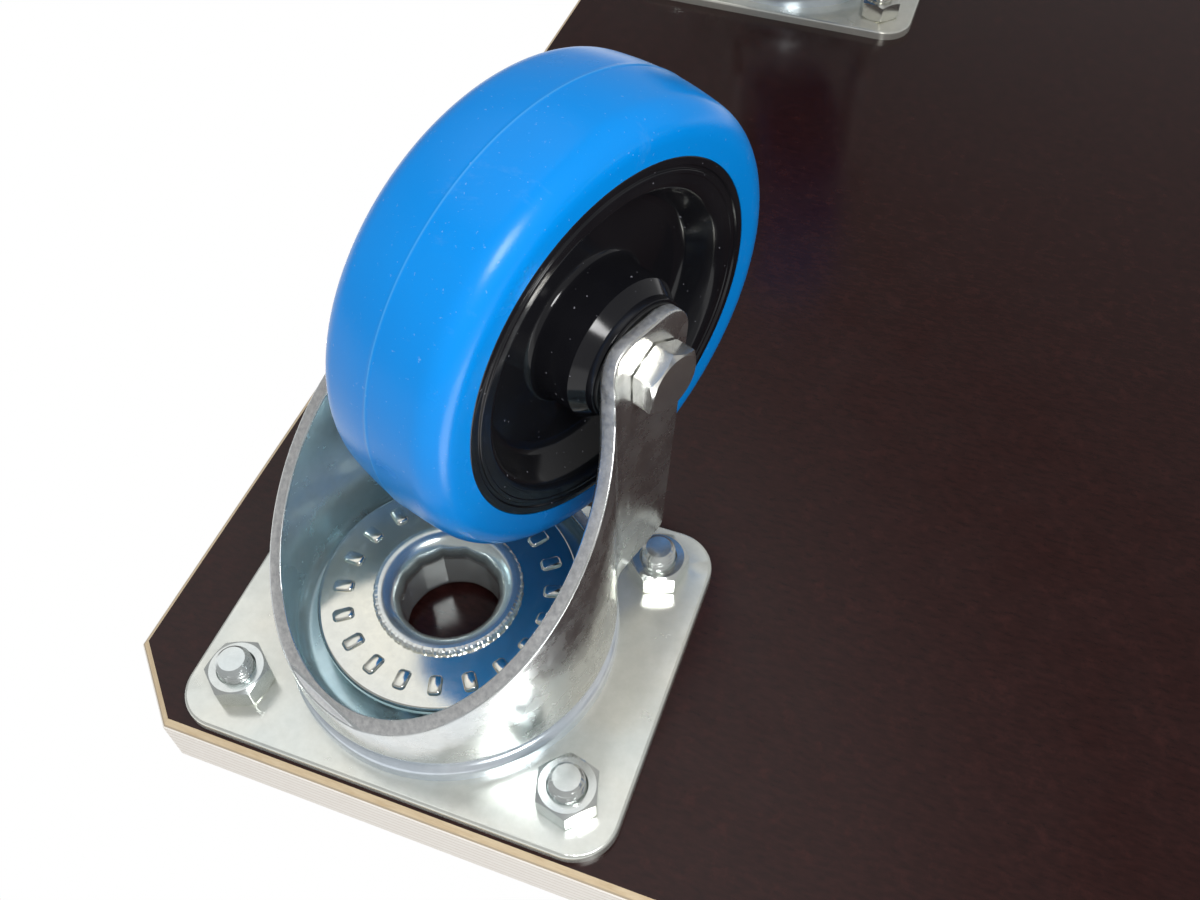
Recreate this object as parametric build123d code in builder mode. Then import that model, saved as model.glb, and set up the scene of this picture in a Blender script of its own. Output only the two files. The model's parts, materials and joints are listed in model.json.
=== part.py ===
from build123d import *
import os
from math import atan2, cos, degrees, hypot, radians, sin, sqrt, tan

# Moving dolly: a plywood deck on four swivel casters, wheels on the floor at Z = 0.
# The origin is on the floor under the middle of the deck, X along the deck's long side.
# All sizes are millimetres.

# Deck board
board_length = 600.0
board_width = 404.0
board_thickness = 18.0
board_corner_cut = 16.5
board_bevel = 1.8

# Caster mounting plate, and where it sits on the board
plate_length = 105.0
plate_width = 85.0
plate_thickness = 3.0
plate_corner_radius = 10.0
plate_edge_round = 0.8
plate_end_inset = 17.5
plate_side_inset = 2.5
hole_pitch_length = 80.0
hole_pitch_width = 60.0

# M8 fasteners, countersunk screws and nuts through the deck
screw_diameter = 8.0
screw_hole_clearance = 0.5
screw_head_diameter = 15.8
screw_head_angle = 90.0
screw_socket_flats = 5.0
screw_socket_depth = 3.0
screw_head_sink = 1.5
screw_protrusion = 4.0
thread_end_chamfer = 1.0
nut_flats = 13.0
nut_height = 6.5
hex_chamfer_angle = 30.0
hex_face_share = 0.95

# Swivel head, from the plate down to the wheel
crown_gap = 5.0
sheet_thickness = 3.0
race_gap = 5.5
washer_thickness = 2.5
rivet_rim_height = 1.5
wheel_clearance = 7.5
swivel_running_gap = 0.3
nut_ring_gap = 3.99
ring_overhang = 0.5
ring_flange = 1.2
ring_skirt = 4.6
ring_edge_round = 2.2
upper_row_inset = 9.0
upper_ball_count = 24
lower_row_inset = 5.7
lower_ball_count = 16
race_depth = 0.45
ball_play = 0.1
washer_wall_gap = 5.5
washer_edge_round = 0.8
dimple_count = 20
dimple_start = 14.3
dimple_length = 5.0
dimple_width = 3.2
dimple_height = 0.7
dimple_taper = 25.0
rivet_bore_diameter = 24.6
rivet_wall = 2.2
rivet_flange_reach = 2.8
rivet_flange_thickness = 1.4
rivet_flange_clearance = 0.2
rivet_rim_reach = 2.9
rivet_mouth_reach = 2.2
rivet_mouth_depth = 2.5
rivet_rim_round = 1.2
rivet_fork_clearance = 0.5

# Fork, pressed from one sheet
trail = 40.0
crown_outer_round = 4.0
crown_inner_round = 3.0
leg_blend = 6.0
front_lip_height = 9.0
front_lip_run = 2.0
rear_lip_height = 4.5
shoulder_drop = 1.0
shoulder_round = 6.0
tip_front_reach = 13.7
tip_rear_reach = 11.0
tip_drop = 12.4
tip_round = 8.0
leg_root_reach = 5.0
leg_root_drop = 4.0
leg_root_round = 3.0

# Wheel
wheel_diameter = 100.0
tyre_width = 32.0
tyre_thickness = 10.7
tyre_crown_drop = 2.1
tyre_shoulder_round = 6.3
tyre_lock_width = 14.0
tyre_lock_depth = 2.0
rim_recess = 0.5
rim_flange = 6.5
rim_dish_run = 4.0
rim_web = 14.0
rim_edge_round = 4.0
rim_root_round = 3.0
hub_root_round = 2.0
hub_edge_round = 0.8
hub_diameter = 30.0
hub_overhang = 5.0
hub_side_gap = 1.0

# Axle and roller bearing
axle_tube_diameter = 12.0
axle_tube_clearance = 0.1
roller_diameter = 4.0
roller_count = 8
roller_play = 0.05
cage_inset = 0.9
cage_end_wall = 2.0
cage_end_play = 0.3
cap_diameter = 25.0
cap_thickness = 0.6
cap_spigot = 2.0
cap_axle_clearance = 0.15
axle_head_height = 5.3
lock_nut_hex = 6.5
lock_nut_collar = 1.5
lock_nut_collar_inset = 0.7
lock_nut_collar_round = 0.8
axle_protrusion = 2.0

# Casters at rest, each turned inwards from the long direction of the deck
rest_swivel = 68.24
corners = (("back_left", -1, 1), ("front_left", -1, -1), ("front_right", 1, -1), ("back_right", 1, 1))

# Heights above the floor, worked out down from the deck
wheel_radius = wheel_diameter / 2
head_stack = plate_thickness + crown_gap + sheet_thickness + race_gap + washer_thickness + rivet_rim_height
caster_height = wheel_diameter + wheel_clearance + head_stack
deck_top_z = caster_height + board_thickness
plate_bottom_z = caster_height - plate_thickness
flange_bottom_z = plate_bottom_z - ring_flange
crown_top_z = plate_bottom_z - crown_gap
crown_floor_z = crown_top_z - sheet_thickness
washer_top_z = crown_floor_z - race_gap
washer_bottom_z = washer_top_z - washer_thickness
rivet_end_z = washer_bottom_z - rivet_rim_height
ring_end_z = crown_top_z + swivel_running_gap
rear_lip_z = crown_floor_z - rear_lip_height
front_lip_z = crown_floor_z - front_lip_height
screw_head_z = deck_top_z - screw_head_sink
screw_end_z = plate_bottom_z - nut_height - screw_protrusion

# Radii about the kingpin: the swivel head fits between the four nuts
screw_radius = screw_diameter / 2
screw_hole_radius = screw_radius + screw_hole_clearance
nut_corner = nut_flats / 2 / cos(radians(30))
ring_radius = hypot(hole_pitch_length / 2, hole_pitch_width / 2) - nut_corner - nut_ring_gap
drum_radius = ring_radius - ring_overhang
drum_inside = drum_radius - sheet_thickness
upper_row = drum_radius - upper_row_inset
upper_race = (flange_bottom_z - crown_top_z) / 2 + race_depth
upper_ball_z = (flange_bottom_z + crown_top_z) / 2
washer_radius = drum_inside - washer_wall_gap
lower_row = washer_radius - lower_row_inset
lower_race = race_gap / 2 + race_depth
lower_ball_z = (crown_floor_z + washer_top_z) / 2
rivet_bore = rivet_bore_diameter / 2
rivet_shank = rivet_bore + rivet_wall
rivet_flange = rivet_shank + rivet_flange_reach
rivet_rim = rivet_shank + rivet_rim_reach
crown_bore = rivet_shank + rivet_fork_clearance

# Sizes along the axle, and radii about it
tyre_half = tyre_width / 2
bead_half = tyre_half - rim_recess
lock_half = tyre_lock_width / 2
hub_half = tyre_half + hub_overhang
leg_inside = hub_half + hub_side_gap
leg_outside = leg_inside + sheet_thickness
rim_radius = wheel_radius - tyre_thickness
lock_radius = rim_radius - tyre_lock_depth
dish_rim = rim_radius - rim_flange
dish_root = dish_rim - rim_dish_run
hub_radius = hub_diameter / 2
axle_tube_radius = axle_tube_diameter / 2
roller_radius = roller_diameter / 2
roller_row = axle_tube_radius + roller_play + roller_radius
hub_bore = roller_row + roller_radius + roller_play
cage_half = hub_half - cap_spigot - cage_end_play
roller_length = 2 * (cage_half - cage_end_wall)
axle_end = -leg_outside - lock_nut_hex - lock_nut_collar - axle_protrusion

# Places of the kingpins on the deck
kingpin_x = board_length / 2 - plate_end_inset - plate_length / 2
kingpin_y = board_width / 2 - plate_side_inset - plate_width / 2

# Planes and axes of one caster, which is drawn with its kingpin on Z and its trail along +X
axle_axis = Axis((trail, 0, wheel_radius), (0, 1, 0))
wheel_section = Plane(origin=(trail, 0, wheel_radius), x_dir=(1, 0, 0), z_dir=(0, 0, 1))
axle_plane = Plane(origin=(trail, 0, wheel_radius), x_dir=(1, 0, 0), z_dir=(0, 1, 0))


def hex_turning(flats, low, high, cut_low, cut_high):
    # half section of a hexagon's turned corners, from height low to height high
    face = flats / 2 * hex_face_share
    corner = flats / 2 / cos(radians(30))
    drop = (corner - face) * tan(radians(hex_chamfer_angle))
    points = [(0, low)]
    points += [(face, low), (corner, low + drop)] if cut_low else [(corner, low)]
    points += [(corner, high - drop), (face, high)] if cut_high else [(corner, high)]
    return points + [(0, high)]


def nearest(vertices, *spots):
    # the vertices of a flat outline at the given places
    return [vertices.sort_by_distance((x, y, 0))[0] for x, y in spots]


def sheet_side(radius, leg, blend, leg_end):
    # one side of the bent sheet in plan: leg, blend, drum front, blend, leg
    centre = Vector(sqrt((radius + blend) ** 2 - (leg + blend) ** 2), leg + blend)
    on_drum = centre * (radius / (radius + blend))
    bend = on_drum + (Vector(centre.X, leg) - on_drum) / 2
    middle = centre + (bend - centre).normalized() * blend
    for side in (-1, 1):
        Line((leg_end, side * leg), (centre.X, side * leg))
        ThreePointArc((centre.X, side * leg), (middle.X, side * middle.Y), (on_drum.X, side * on_drum.Y))
    ThreePointArc((on_drum.X, on_drum.Y), (-radius, 0), (on_drum.X, -on_drum.Y))


# Deck board, with a countersunk hole for each screw, sunk below the load face
screw_head_radius = screw_head_diameter / 2
with BuildPart() as deck_board:
    with BuildSketch(Plane.XY.offset(caster_height)) as board_outline:
        Rectangle(board_length, board_width)
        chamfer(board_outline.vertices(), board_corner_cut)
    extrude(amount=board_thickness)
    board_faces = deck_board.faces().sort_by(Axis.Z)
    chamfer(board_faces[0].edges() + board_faces[-1].edges(), board_bevel)
    with Locations((0, 0, screw_head_z)):
        with GridLocations(2 * kingpin_x, 2 * kingpin_y, 2, 2):
            with GridLocations(hole_pitch_length, hole_pitch_width, 2, 2):
                CounterSinkHole(screw_hole_radius, screw_head_radius, counter_sink_angle=screw_head_angle)
    with BuildSketch(Plane.XY.offset(screw_head_z)):
        with GridLocations(2 * kingpin_x, 2 * kingpin_y, 2, 2):
            with GridLocations(hole_pitch_length, hole_pitch_width, 2, 2):
                Circle(screw_head_radius)
    extrude(amount=screw_head_sink, mode=Mode.SUBTRACT)

# One countersunk socket screw
screw_head_height = (screw_head_radius - screw_radius) / tan(radians(screw_head_angle / 2))
with BuildPart() as deck_screw:
    with BuildSketch(Plane.XZ):
        with BuildLine():
            Polyline(
                (0, screw_head_z),
                (screw_head_radius, screw_head_z),
                (screw_radius, screw_head_z - screw_head_height),
                (screw_radius, screw_end_z + thread_end_chamfer),
                (screw_radius - thread_end_chamfer, screw_end_z),
                (0, screw_end_z),
                close=True,
            )
        make_face()
    revolve(axis=Axis.Z)
    with BuildSketch(Plane.XY.offset(screw_head_z)):
        RegularPolygon(screw_socket_flats / 2, 6, major_radius=False)
    extrude(amount=-screw_socket_depth, mode=Mode.SUBTRACT)

with BuildPart() as deck_screws:
    with GridLocations(2 * kingpin_x, 2 * kingpin_y, 2, 2):
        with GridLocations(hole_pitch_length, hole_pitch_width, 2, 2):
            add(deck_screw.part)

# One hex nut, tightened against the caster plate
nut_bottom_z = plate_bottom_z - nut_height
with BuildPart() as deck_nut:
    with BuildSketch(Plane.XY.offset(nut_bottom_z)):
        RegularPolygon(nut_flats / 2, 6, major_radius=False)
        Circle(screw_radius, mode=Mode.SUBTRACT)
    extrude(amount=nut_height)
    with BuildSketch(Plane.XZ):
        with BuildLine():
            Polyline(*hex_turning(nut_flats, nut_bottom_z, plate_bottom_z, True, True), close=True)
        make_face()
    revolve(axis=Axis.Z, mode=Mode.INTERSECT)

with BuildPart() as deck_nuts:
    with GridLocations(2 * kingpin_x, 2 * kingpin_y, 2, 2):
        with GridLocations(hole_pitch_length, hole_pitch_width, 2, 2):
            add(deck_nut.part)

# Caster mounting plate, recessed for the kingpin's flange
with BuildPart() as top_plate:
    with BuildSketch(Plane.XY.offset(plate_bottom_z)):
        RectangleRounded(plate_length, plate_width, plate_corner_radius)
    extrude(amount=plate_thickness)
    fillet(top_plate.faces().sort_by(Axis.Z)[0].edges(), plate_edge_round)
    with BuildSketch(Plane.XY.offset(plate_bottom_z)):
        Circle(rivet_shank)
        with GridLocations(hole_pitch_length, hole_pitch_width, 2, 2):
            Circle(screw_hole_radius)
    extrude(amount=plate_thickness, mode=Mode.SUBTRACT)
    with BuildSketch(Plane.XY.offset(caster_height)):
        Circle(rivet_flange + rivet_flange_clearance)
    extrude(amount=-rivet_flange_thickness, mode=Mode.SUBTRACT)

# Swivel ring, with the upper ball race
with BuildPart() as swivel_ring:
    with BuildSketch(Plane.XZ) as ring_section:
        with BuildLine():
            Polyline(
                (crown_bore, plate_bottom_z),
                (ring_radius, plate_bottom_z),
                (ring_radius, ring_end_z),
                (ring_radius - ring_skirt, ring_end_z),
                (ring_radius - ring_skirt, flange_bottom_z),
                (crown_bore, flange_bottom_z),
                close=True,
            )
        make_face()
        fillet(nearest(ring_section.vertices(), (ring_radius, ring_end_z)), ring_edge_round)
    revolve(axis=Axis.Z)
    with Locations((0, 0, upper_ball_z)):
        Torus(upper_row, upper_race, mode=Mode.SUBTRACT)

with BuildPart() as upper_balls:
    with Locations((0, 0, upper_ball_z)):
        with PolarLocations(upper_row, upper_ball_count):
            Sphere(upper_race - ball_play)

with BuildPart() as lower_balls:
    with Locations((0, 0, lower_ball_z)):
        with PolarLocations(lower_row, lower_ball_count):
            Sphere(lower_race - ball_play)

# Fork: the bent sheet in plan, cut to its outline from the side, with its dished crown
leg_end = trail + max(tip_rear_reach, leg_root_reach)
drum_joint = sqrt(drum_radius**2 - leg_outside**2)
wall_top_z = crown_top_z - crown_outer_round
tip_z = wheel_radius - tip_drop
shoulder_z = wheel_radius - shoulder_drop
lip_x = front_lip_run - drum_radius
tip_front = trail - tip_front_reach
tip_rear = trail + tip_rear_reach
leg_root_z = rear_lip_z - leg_root_drop
leg_root = trail + leg_root_reach
tip_limit = min(tip_round, (shoulder_z - tip_z) * 0.75, (tip_rear - tip_front) * 0.45)
with BuildPart() as fork:
    with BuildSketch(Plane.XY.offset(tip_z)):
        with BuildLine():
            sheet_side(drum_radius, leg_outside, leg_blend, leg_end)
            sheet_side(drum_inside, leg_inside, leg_blend + sheet_thickness, leg_end)
            for side in (-1, 1):
                Line((leg_end, side * leg_outside), (leg_end, side * leg_inside))
        make_face()
    extrude(amount=wall_top_z - tip_z)
    with BuildSketch(Plane.XZ) as leg_side:
        with BuildLine():
            Polyline(
                (-drum_radius, wall_top_z),
                (drum_joint, wall_top_z),
                (drum_joint, rear_lip_z),
                (leg_root, leg_root_z),
                (tip_rear, tip_z),
                (tip_front, tip_z),
                (tip_front, shoulder_z),
                (lip_x, front_lip_z),
                (-drum_radius, front_lip_z),
                close=True,
            )
        make_face()
        fillet(nearest(leg_side.vertices(), (leg_root, leg_root_z)), leg_root_round)
        fillet(nearest(leg_side.vertices(), (tip_rear, tip_z), (tip_front, tip_z)), tip_limit)
        fillet(nearest(leg_side.vertices(), (tip_front, shoulder_z)), shoulder_round)
    extrude(amount=drum_radius, both=True, mode=Mode.INTERSECT)
    with BuildSketch(Plane.XZ) as crown_section:
        with BuildLine():
            Polyline(
                (crown_bore, crown_top_z),
                (drum_radius, crown_top_z),
                (drum_radius, rear_lip_z),
                (drum_inside, rear_lip_z),
                (drum_inside, crown_floor_z),
                (crown_bore, crown_floor_z),
                close=True,
            )
        make_face()
        fillet(nearest(crown_section.vertices(), (drum_radius, crown_top_z)), crown_outer_round)
        fillet(nearest(crown_section.vertices(), (drum_inside, crown_floor_z)), crown_inner_round)
    revolve(axis=Axis.Z)
    with Locations((0, 0, upper_ball_z)):
        Torus(upper_row, upper_race, mode=Mode.SUBTRACT)
    with Locations((0, 0, lower_ball_z)):
        Torus(lower_row, lower_race, mode=Mode.SUBTRACT)
    with BuildSketch(axle_plane):
        Circle(screw_radius + axle_tube_clearance)
    extrude(amount=leg_outside, both=True, mode=Mode.SUBTRACT)

# Race washer, with raised dimples on its wheel side
washer_face = Plane(origin=(0, 0, washer_bottom_z), x_dir=(1, 0, 0), z_dir=(0, 0, -1))
with BuildPart() as race_washer:
    with BuildSketch(Plane.XZ) as washer_section:
        with BuildLine():
            Polyline(
                (rivet_shank, washer_top_z),
                (washer_radius, washer_top_z),
                (washer_radius, washer_bottom_z),
                (rivet_shank, washer_bottom_z),
                close=True,
            )
        make_face()
        fillet(nearest(washer_section.vertices(), (washer_radius, washer_bottom_z)), washer_edge_round)
    revolve(axis=Axis.Z)
    with Locations((0, 0, lower_ball_z)):
        Torus(lower_row, lower_race, mode=Mode.SUBTRACT)
    with BuildSketch(washer_face):
        with PolarLocations(lower_row, dimple_count, start_angle=-dimple_start):
            SlotOverall(dimple_length, dimple_width)
    extrude(amount=dimple_height, taper=dimple_taper)

# Hollow kingpin rivet: flange in the plate, flared rim rolled over the race washer
with BuildPart() as king_rivet:
    with BuildSketch(Plane.XZ) as rivet_section:
        with BuildLine():
            Polyline(
                (rivet_bore, caster_height),
                (rivet_flange, caster_height),
                (rivet_flange, caster_height - rivet_flange_thickness),
                (rivet_shank, caster_height - rivet_flange_thickness),
                (rivet_shank, washer_bottom_z),
                (rivet_rim, washer_bottom_z),
                (rivet_rim, rivet_end_z),
                (rivet_bore + rivet_mouth_reach, rivet_end_z),
                (rivet_bore, rivet_end_z + rivet_mouth_depth),
                close=True,
            )
        make_face()
        fillet(nearest(rivet_section.vertices(), (rivet_rim, rivet_end_z)), rivet_rim_round)
    revolve(axis=Axis.Z)

# Tyre, locked to the rim by a rib in a groove
tyre_shoulder = wheel_radius - tyre_crown_drop
with BuildPart() as tyre:
    with BuildSketch(wheel_section) as tyre_section:
        with BuildLine():
            ThreePointArc((tyre_shoulder, -tyre_half), (wheel_radius, 0), (tyre_shoulder, tyre_half))
            Polyline(
                (tyre_shoulder, tyre_half),
                (rim_radius, bead_half),
                (rim_radius, lock_half),
                (lock_radius, lock_half),
                (lock_radius, -lock_half),
                (rim_radius, -lock_half),
                (rim_radius, -bead_half),
                (tyre_shoulder, -tyre_half),
            )
        make_face()
        shoulders = ((tyre_shoulder, tyre_half), (tyre_shoulder, -tyre_half))
        fillet(nearest(tyre_section.vertices(), *shoulders), tyre_shoulder_round)
    revolve(axis=axle_axis)

# Rim: flat flange, dished web and hub, the same on both sides
web_half = rim_web / 2
with BuildPart() as rim:
    with BuildSketch(wheel_section) as rim_section:
        with BuildLine():
            Polyline(
                (hub_bore, hub_half),
                (hub_radius, hub_half),
                (hub_radius, web_half),
                (dish_root, web_half),
                (dish_rim, bead_half),
                (rim_radius, bead_half),
                (rim_radius, lock_half),
                (lock_radius, lock_half),
                (lock_radius, -lock_half),
                (rim_radius, -lock_half),
                (rim_radius, -bead_half),
                (dish_rim, -bead_half),
                (dish_root, -web_half),
                (hub_radius, -web_half),
                (hub_radius, -hub_half),
                (hub_bore, -hub_half),
                close=True,
            )
        make_face()
        rounds = (
            (dish_rim, bead_half, rim_edge_round),
            (dish_root, web_half, rim_root_round),
            (hub_radius, web_half, hub_root_round),
            (hub_radius, hub_half, hub_edge_round),
        )
        for radius, height, round_size in rounds:
            fillet(nearest(rim_section.vertices(), (radius, height), (radius, -height)), round_size)
    revolve(axis=axle_axis)

# Roller bearing: a cage with its loose rollers, between the hub and the axle tube
with BuildPart() as roller_bearing:
    with BuildSketch(axle_plane):
        Circle(hub_bore - cage_inset)
        Circle(axle_tube_radius + cage_inset, mode=Mode.SUBTRACT)
    extrude(amount=cage_half, both=True)
    with BuildSketch(axle_plane):
        with PolarLocations(roller_row, roller_count):
            Circle(roller_radius + roller_play)
    extrude(amount=roller_length / 2 + roller_play, both=True, mode=Mode.SUBTRACT)
    with BuildSketch(axle_plane):
        with PolarLocations(roller_row, roller_count):
            Circle(roller_radius)
    extrude(amount=roller_length / 2, both=True)

# Dust caps, pressed into both ends of the hub
cap_bore = axle_tube_radius + cap_axle_clearance
with BuildPart() as hub_caps:
    with BuildSketch(wheel_section):
        for side in (-1, 1):
            with BuildLine():
                Polyline(
                    (cap_bore, side * (hub_half - cap_spigot)),
                    (hub_bore, side * (hub_half - cap_spigot)),
                    (hub_bore, side * hub_half),
                    (cap_diameter / 2, side * hub_half),
                    (cap_diameter / 2, side * (hub_half + cap_thickness)),
                    (cap_bore, side * (hub_half + cap_thickness)),
                    close=True,
                )
            make_face()
    revolve(axis=axle_axis)

# Axle: a tube clamped between the legs by a bolt and a lock nut
with BuildPart() as axle_tube:
    with BuildSketch(axle_plane):
        Circle(axle_tube_radius)
        Circle(screw_radius + axle_tube_clearance, mode=Mode.SUBTRACT)
    extrude(amount=leg_inside, both=True)

axle_head_end = leg_outside + axle_head_height
with BuildPart() as axle_bolt:
    with BuildSketch(axle_plane.offset(leg_outside)):
        RegularPolygon(nut_flats / 2, 6, major_radius=False)
    extrude(amount=axle_head_height)
    with BuildSketch(wheel_section):
        with BuildLine():
            Polyline(*hex_turning(nut_flats, leg_outside, axle_head_end, False, True), close=True)
        make_face()
    revolve(axis=axle_axis, mode=Mode.INTERSECT)
    with BuildSketch(wheel_section):
        with BuildLine():
            Polyline(
                (0, leg_outside),
                (screw_radius, leg_outside),
                (screw_radius, axle_end + thread_end_chamfer),
                (screw_radius - thread_end_chamfer, axle_end),
                (0, axle_end),
                close=True,
            )
        make_face()
    revolve(axis=axle_axis)

collar_radius = nut_flats / 2 - lock_nut_collar_inset
nut_face = -leg_outside - lock_nut_hex
with BuildPart() as axle_nut:
    with BuildSketch(axle_plane.offset(-leg_outside)):
        RegularPolygon(nut_flats / 2, 6, major_radius=False)
    extrude(amount=-lock_nut_hex)
    with BuildSketch(wheel_section):
        with BuildLine():
            Polyline(*hex_turning(nut_flats, nut_face, -leg_outside, True, True), close=True)
        make_face()
    revolve(axis=axle_axis, mode=Mode.INTERSECT)
    with BuildSketch(wheel_section) as collar_section:
        with BuildLine():
            Polyline(
                (0, nut_face),
                (collar_radius, nut_face),
                (collar_radius, nut_face - lock_nut_collar),
                (0, nut_face - lock_nut_collar),
                close=True,
            )
        make_face()
        collar_edge = (collar_radius, nut_face - lock_nut_collar)
        fillet(nearest(collar_section.vertices(), collar_edge), lock_nut_collar_round)
    revolve(axis=axle_axis)
    with BuildSketch(axle_plane.offset(-leg_outside)):
        Circle(screw_radius)
    extrude(amount=-lock_nut_hex - lock_nut_collar, mode=Mode.SUBTRACT)

# Every piece goes to its own file
os.makedirs("parts", exist_ok=True)

for piece_name, piece in (("deck_board", deck_board), ("deck_screws", deck_screws), ("deck_nuts", deck_nuts)):
    piece.part.label = piece_name
    export_step(piece.part, f"parts/{piece_name}.step")

turning_pieces = {
    "swivel_ring": swivel_ring,
    "upper_balls": upper_balls,
    "lower_balls": lower_balls,
    "fork": fork,
    "race_washer": race_washer,
    "king_rivet": king_rivet,
    "tyre": tyre,
    "rim": rim,
    "roller_bearing": roller_bearing,
    "hub_caps": hub_caps,
    "axle_tube": axle_tube,
    "axle_bolt": axle_bolt,
    "axle_nut": axle_nut,
}

for corner, side_x, side_y in corners:
    kingpin = (side_x * kingpin_x, side_y * kingpin_y, 0)
    inwards = (-side_x * cos(radians(rest_swivel)), -side_y * sin(radians(rest_swivel)))
    swivel = degrees(atan2(inwards[1], inwards[0]))
    placed_plate = top_plate.part.moved(Location(kingpin))
    placed_plate.label = f"top_plate_{corner}"
    export_step(placed_plate, f"parts/{placed_plate.label}.step")
    for piece_name, piece in turning_pieces.items():
        placed = piece.part.moved(Location(kingpin, (0, 0, swivel)))
        placed.label = f"{piece_name}_{corner}"
        export_step(placed, f"parts/{placed.label}.step")
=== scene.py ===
import bpy
import bmesh
import json
import math
from mathutils import Matrix, Vector


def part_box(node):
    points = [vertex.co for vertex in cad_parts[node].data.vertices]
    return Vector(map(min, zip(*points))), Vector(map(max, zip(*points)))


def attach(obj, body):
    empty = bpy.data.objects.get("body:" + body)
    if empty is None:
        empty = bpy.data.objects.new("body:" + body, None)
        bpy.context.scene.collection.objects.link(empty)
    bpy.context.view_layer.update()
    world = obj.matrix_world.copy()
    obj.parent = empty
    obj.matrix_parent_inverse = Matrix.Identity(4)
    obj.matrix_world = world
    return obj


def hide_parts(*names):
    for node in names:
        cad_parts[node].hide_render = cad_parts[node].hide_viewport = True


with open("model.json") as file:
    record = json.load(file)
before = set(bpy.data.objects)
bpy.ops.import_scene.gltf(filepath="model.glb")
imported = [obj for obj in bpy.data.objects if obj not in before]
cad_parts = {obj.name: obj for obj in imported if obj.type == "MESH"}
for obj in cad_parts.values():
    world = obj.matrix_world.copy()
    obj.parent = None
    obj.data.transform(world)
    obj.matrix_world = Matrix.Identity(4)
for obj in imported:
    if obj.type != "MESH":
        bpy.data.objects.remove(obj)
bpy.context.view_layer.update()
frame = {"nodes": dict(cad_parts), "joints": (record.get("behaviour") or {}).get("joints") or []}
print("frame loaded,", len(frame["nodes"]), "nodes")

mm = 0.001               # sections and turnings are drawn in millimetres
weld = 0.002 * mm        # points of CAD triangles this near are one
scene = bpy.context.scene
joints = {joint["name"]: joint for joint in frame["joints"]}
corners = [name.removeprefix("swivel_") for name in joints if name.startswith("swivel_")]


# Places

def casterPlace(corner):
    # millimetres about a kingpin, trail along +X, into the frame
    kingpin = Vector(joints["swivel_" + corner]["pos_m"])
    trail = Vector(joints["roll_" + corner]["pos_m"]) - kingpin
    heading = Matrix.Rotation(math.atan2(trail.y, trail.x), 4, "Z")
    return Matrix.Translation((kingpin.x, kingpin.y, 0)) @ heading @ Matrix.Scale(mm, 4)


def wheelPlace(corner):
    # millimetres about an axle that lies along +Z, into the frame
    axle = Vector(joints["roll_" + corner]["pos_m"])
    inCaster = casterPlace(corner).inverted() @ axle
    return casterPlace(corner) @ Matrix.Translation(inCaster) @ Matrix.Rotation(-math.pi / 2, 4, "X")


def heights(node):
    # lowest and highest level of a CAD node, in millimetres
    low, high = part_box(node)
    return low.z / mm, high.z / mm


# Meshes

def evenTurns(steps):
    return [2 * math.pi * step / steps for step in range(steps)]


def ring(turns, radiusAt, heightAt):
    # one ring of points; radius and height are numbers or follow the angle
    points = []
    for turn in turns:
        radius = radiusAt(turn) if callable(radiusAt) else radiusAt
        height = heightAt(turn) if callable(heightAt) else heightAt
        points.append((radius * math.cos(turn), radius * math.sin(turn), height))
    return points


def ringMesh(name, rings, loop=False, capStart=False, capEnd=False):
    # quads between neighbouring rings; loop joins the last ring to the first
    bm = bmesh.new()
    rows = [[bm.verts.new(point) for point in points] for points in rings]
    pairs = list(zip(rows, rows[1:]))
    if loop:
        pairs.append((rows[-1], rows[0]))
    for low, high in pairs:
        for step in range(len(low)):
            after = (step + 1) % len(low)
            bm.faces.new((low[step], low[after], high[after], high[step]))
    if capStart:
        bm.faces.new(list(reversed(rows[0])))
    if capEnd:
        bm.faces.new(rows[-1])
    bmesh.ops.recalc_face_normals(bm, faces=bm.faces)
    mesh = bpy.data.meshes.new(name)
    bm.to_mesh(mesh)
    bm.free()
    return mesh


def arcBetween(centre, radius, start, end, steps):
    # points on an arc, the short way round from angle start to angle end
    sweep = (end - start + math.pi) % (2 * math.pi) - math.pi
    angles = [start + sweep * step / steps for step in range(steps + 1)]
    return [(centre[0] + radius * math.cos(a), centre[1] + radius * math.sin(a)) for a in angles]


def roundedSection(places, arcSteps=6):
    # a closed section through (radius, height, rounding) corners
    points = []
    for index, (x, y, rounding) in enumerate(places):
        if not rounding:
            points.append((x, y))
            continue
        here = Vector((x, y))
        toBefore = (Vector(places[index - 1][:2]) - here).normalized()
        toAfter = (Vector(places[(index + 1) % len(places)][:2]) - here).normalized()
        half = toBefore.angle(toAfter) / 2
        centre = here + (toBefore + toAfter).normalized() * (rounding / math.sin(half))
        start = here + toBefore * (rounding / math.tan(half)) - centre
        end = here + toAfter * (rounding / math.tan(half)) - centre
        startAngle = math.atan2(start.y, start.x)
        endAngle = math.atan2(end.y, end.x)
        points += arcBetween(centre, rounding, startAngle, endAngle, arcSteps)
    return points


def turnedMesh(name, section, steps):
    turns = evenTurns(steps)
    return ringMesh(name, [ring(turns, radius, height) for radius, height in section], loop=True)


def cadCopy(node):
    # merged copy of a CAD node's loose triangles
    bm = bmesh.new()
    bm.from_mesh(frame["nodes"][node].data)
    bmesh.ops.remove_doubles(bm, verts=bm.verts, dist=weld)
    return bm


def addPiece(name, mesh, finish, body, nodes, sharpAngle=35):
    if finish is not None:
        mesh.materials.clear()
        mesh.materials.append(finish)
    mesh.shade_smooth()
    mesh.set_sharp_from_angle(angle=math.radians(sharpAngle))
    piece = bpy.data.objects.new(name, mesh)
    scene.collection.objects.link(piece)
    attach(piece, body)
    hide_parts(*nodes)


# Node trees

def fillInputs(tree, node, inputs):
    # each named input is linked to a socket, or set to a value
    for name, value in inputs.items():
        socket = node.inputs[name]
        if isinstance(value, bpy.types.NodeSocket):
            tree.links.new(value, socket)
        elif socket.type == "RGBA":
            socket.default_value = (*value, 1.0)
        else:
            socket.default_value = value


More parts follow.
